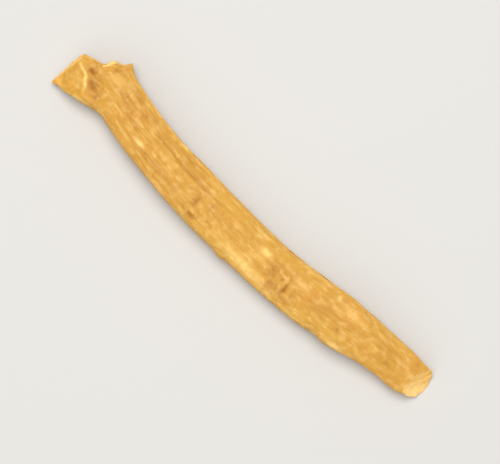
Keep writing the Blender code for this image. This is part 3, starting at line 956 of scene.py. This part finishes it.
def makeFibreGrain():
    # Noise drawn out into streaks: its place is divided by the streak's length and width
    tree, given, out = startGroup("fibreGrain", "Streak", "Length", "Width", "Sharpness")
    size = addNode(tree, "ShaderNodeCombineXYZ", {0: given["Length"], 1: given["Width"], 2: given["Width"]})
    place = calculateVector(tree, "DIVIDE", given["Place"], size.outputs[0])
    noise = addNode(tree, "ShaderNodeTexNoise", {"Vector": place, "Scale": 1.0, "Detail": 3.0,
                                                 "Roughness": 0.55, "Distortion": 0.25})
    centred = calculate(tree, "SUBTRACT", noise.outputs[0], 0.5)
    raised = calculate(tree, "MULTIPLY", centred, given["Sharpness"])
    clamped = addNode(tree, "ShaderNodeMath", {0: raised, 1: 0.5}, operation="ADD", use_clamp=True)
    tree.links.new(clamped.outputs[0], out["Streak"])
    return tree


def makeMottle():
    # Soft patches: noise of one size, eased from 0 to 1 between two levels
    tree, given, out = startGroup("mottle", "Patch", "Size", "Low", "High")
    scale = calculate(tree, "DIVIDE", 1.0, given["Size"])
    noise = addNode(tree, "ShaderNodeTexNoise", {"Vector": given["Place"], "Scale": scale, "Detail": 2.5,
                                                 "Roughness": 0.5, "Distortion": 0.12})
    tree.links.new(easeBetween(tree, noise.outputs[0], given["Low"], given["High"]), out["Patch"])
    return tree


def makeSpecks():
    # Small dots: the distance to scattered points, let through only in some of their cells
    tree, given, out = startGroup("specks", "Dot", "Spacing", "Radius", "Share")
    scale = calculate(tree, "DIVIDE", 1.0, given["Spacing"])
    cells = addNode(tree, "ShaderNodeTexVoronoi", {"Vector": given["Place"], "Scale": scale,
                                                   "Randomness": 1.0})
    drawn = addNode(tree, "ShaderNodeSeparateColor", {0: cells.outputs["Color"]})
    kept = calculate(tree, "LESS_THAN", drawn.outputs[0], given["Share"])
    size = calculate(tree, "MULTIPLY", given["Radius"], calculate(tree, "ADD", drawn.outputs[1], 0.4))
    core = calculate(tree, "MULTIPLY", size, 0.4)
    dot = easeBetween(tree, cells.outputs["Distance"], size, core)
    tree.links.new(calculate(tree, "MULTIPLY", dot, kept), out["Dot"])
    return tree


groups = {"fibreGrain": makeFibreGrain(), "mottle": makeMottle(), "specks": makeSpecks()}


def effect(tree, name, place, **values):
    inputs = {"Place": place, **{label.capitalize(): value for label, value in values.items()}}
    return addNode(tree, "ShaderNodeGroup", inputs, node_tree=groups[name]).outputs[0]


def effects(tree, name, place, look, labels):
    # One effect for each label, with the look's numbers for it
    return {label: effect(tree, name, place, **look[label]) for label in labels}


def startMaterial(name):
    material = bpy.data.materials.new(name)
    material.use_nodes = True
    tree = material.node_tree
    return material, tree, tree.nodes["Principled BSDF"]


def finishMaterial(tree, shader, look, baseColour, roughShare, height):
    least, most = look["roughness"]
    roughness = addNode(tree, "ShaderNodeMapRange", {0: roughShare, 3: least, 4: most})
    bumps = addNode(tree, "ShaderNodeBump", {"Height": height, "Distance": look["bump"]})
    setInputs(tree, shader, {"Base Color": baseColour, "Roughness": roughness.outputs[0],
                             "Normal": bumps.outputs[0], **dryMatt})


def grainOver(tree, **values):
    # Streaks along the shaft, giving way to streaks along the arms
    streaks = [effect(tree, "fibreGrain", attributeOf(tree, name, "Vector"), **values)
               for name in ("alongShaft", "alongArms")]
    return addNode(tree, "ShaderNodeMix", {0: attributeOf(tree, "onArms", "Fac"), 2: streaks[0],
                                           3: streaks[1]}).outputs[0]


def makeBark():
    material, tree, shader = startMaterial("bark")
    look = barkLook
    place = attributeOf(tree, "spot", "Vector")
    masks = effects(tree, "mottle", place, look, ("blotches", "tinges", "grit"))
    drawnOut = calculateVector(tree, "MULTIPLY", place, look["dustDrawnOut"])
    masks["dusting"] = effect(tree, "mottle", drawnOut, **look["dusting"])
    masks["dots"] = effect(tree, "specks", place, **look["dots"])
    for name in ("fineStreaks", "broadStreaks"):
        masks[name] = grainOver(tree, **look[name])
    for name in ("paintedCreaseShade", "brown", "pale"):
        masks[name] = attributeOf(tree, name, "Fac")
    shade = tintOver(tree, look["golden"], look, masks, look["layers"])
    aged = tintOver(tree, look["agedWood"], look, masks, look["agedLayers"])
    wood = tintOver(tree, look["wood"], look, masks, look["woodLayers"])
    shade = mixColour(tree, attributeOf(tree, "agedWood", "Fac"), shade, aged)
    shade = mixColour(tree, attributeOf(tree, "woodShows", "Fac"), shade, wood)
    finishMaterial(tree, shader, look, shade, masks["fineStreaks"],
                   sumOfShares(tree, masks, look["heights"]))
    return material


def makeCutWood():
    material, tree, shader = startMaterial("cut_wood")
    look = woodLook
    place = attributeOf(tree, "acrossCut", "Vector")
    outwards = attributeOf(tree, "outwards", "Fac")
    aged = attributeOf(tree, "aged", "Fac")
    heading = calculateVector(tree, "NORMALIZE", place)
    reach = addNode(tree, "ShaderNodeVectorMath", {0: place}, operation="LENGTH").outputs["Value"]
    spread = addNode(tree, "ShaderNodeVectorMath", {0: heading, "Scale": look["raysScale"]},
                     operation="SCALE").outputs[0]
    masks = effects(tree, "mottle", place, look, ("grit", "clouds"))
    masks["pores"] = effect(tree, "specks", place, **look["pores"])
    masks["rays"] = calculate(tree, "MULTIPLY", effect(tree, "fibreGrain", spread, **look["rays"]),
                              easeBetween(tree, reach, *look["raysFrom"]))
    ringOff = calculate(tree, "ABSOLUTE", calculate(tree, "SUBTRACT", outwards, look["lineAt"]))
    masks["underBark"] = calculate(tree, "MULTIPLY", easeBetween(tree, ringOff, look["lineWidth"], 0.0),
                                   masks["clouds"])
    masks["barkRing"] = easeBetween(tree, outwards, *look["barkFrom"])
    masks["pith"] = easeBetween(tree, reach, *look["pithEdge"])
    masks["crescent"] = attributeOf(tree, "crescent", "Fac")
    tints = {**look, "deep": mixColour(tree, aged, look["freshDeep"], look["agedDeep"])}
    shade = mixColour(tree, aged, look["fresh"], look["aged"])
    shade = mixColour(tree, sumOfShares(tree, masks, look["deepening"]), shade, tints["deep"])
    shade = tintOver(tree, shade, tints, masks, look["layers"])
    finishMaterial(tree, shader, look, shade, masks["grit"], sumOfShares(tree, masks, look["heights"]))
    return material


# Setting: floor, light and camera

setting = {
    "floorHalf": 1.5,
    "floorPaper": {"Base Color": colour(205, 203, 199), "Roughness": 0.9},
    "world": {"Color": (1.0, 1.0, 1.0, 1.0), "Strength": 0.36},
    # Lamps: place, side, power, colour
    "lamps": (((-0.1, 0.1, 0.72), 0.42, 5.3, (1.0, 1.0, 1.0)),
              ((0.1, -0.4, 0.5), 0.6, 0.8, (1.0, 1.0, 1.0))),
    "viewTurn": 46.6,
    "viewCentre": (0.001, 0.0005, 0.005),
    "viewHeight": 0.092,
    "lens": 150.0,
    "imageSize": (500, 464),
}


def makeFloor():
    half = setting["floorHalf"]
    mesh = bpy.data.meshes.new("floor")
    mesh.from_pydata([(-half, -half, 0.0), (half, -half, 0.0), (half, half, 0.0), (-half, half, 0.0)],
                     [], [(0, 1, 2, 3)])
    floor = placeObject("floor", mesh)
    material, tree, shader = startMaterial("floor_paper")
    setInputs(tree, shader, setting["floorPaper"])
    mesh.materials.append(material)


def makeLight():
    scene = bpy.context.scene
    world = bpy.data.worlds.new("studio")
    world.use_nodes = True
    setInputs(world.node_tree, world.node_tree.nodes["Background"], setting["world"])
    scene.world = world
    for number, (place, size, power, tint) in enumerate(setting["lamps"]):
        lamp = bpy.data.lights.new("lamp" + str(number), "AREA")
        lamp.size = size
        lamp.energy = power
        lamp.color = tint
        holder = placeObject(lamp.name, lamp)
        holder.location = place
        holder.rotation_euler = Vector(place).to_track_quat("Z", "Y").to_euler()
    scene.view_settings.view_transform = "Standard"


def makeCamera():
    # Straight down, turned so that the root lies across the picture from upper left to lower right
    lens = bpy.data.cameras.new("camera")
    lens.lens = setting["lens"]
    width, height = setting["imageSize"]
    camera = placeObject("camera", lens)
    distance = setting["viewHeight"] * width / height * setting["lens"] / lens.sensor_width
    camera.location = Vector(setting["viewCentre"]) + Vector((0.0, 0.0, distance))
    camera.rotation_euler = (0.0, 0.0, np.radians(setting["viewTurn"]))
    lens.clip_start = 0.01
    lens.clip_end = 10.0
    bpy.context.scene.camera = camera


driedRoot = makeRoot()
driedRoot.data.materials.append(makeBark())
driedRoot.data.materials.append(makeCutWood())
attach(driedRoot, shownBody)
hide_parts(shownNode)
print("root made:", len(driedRoot.data.polygons), "faces")

makeFloor()
makeLight()
makeCamera()
print("floor, light and camera set")
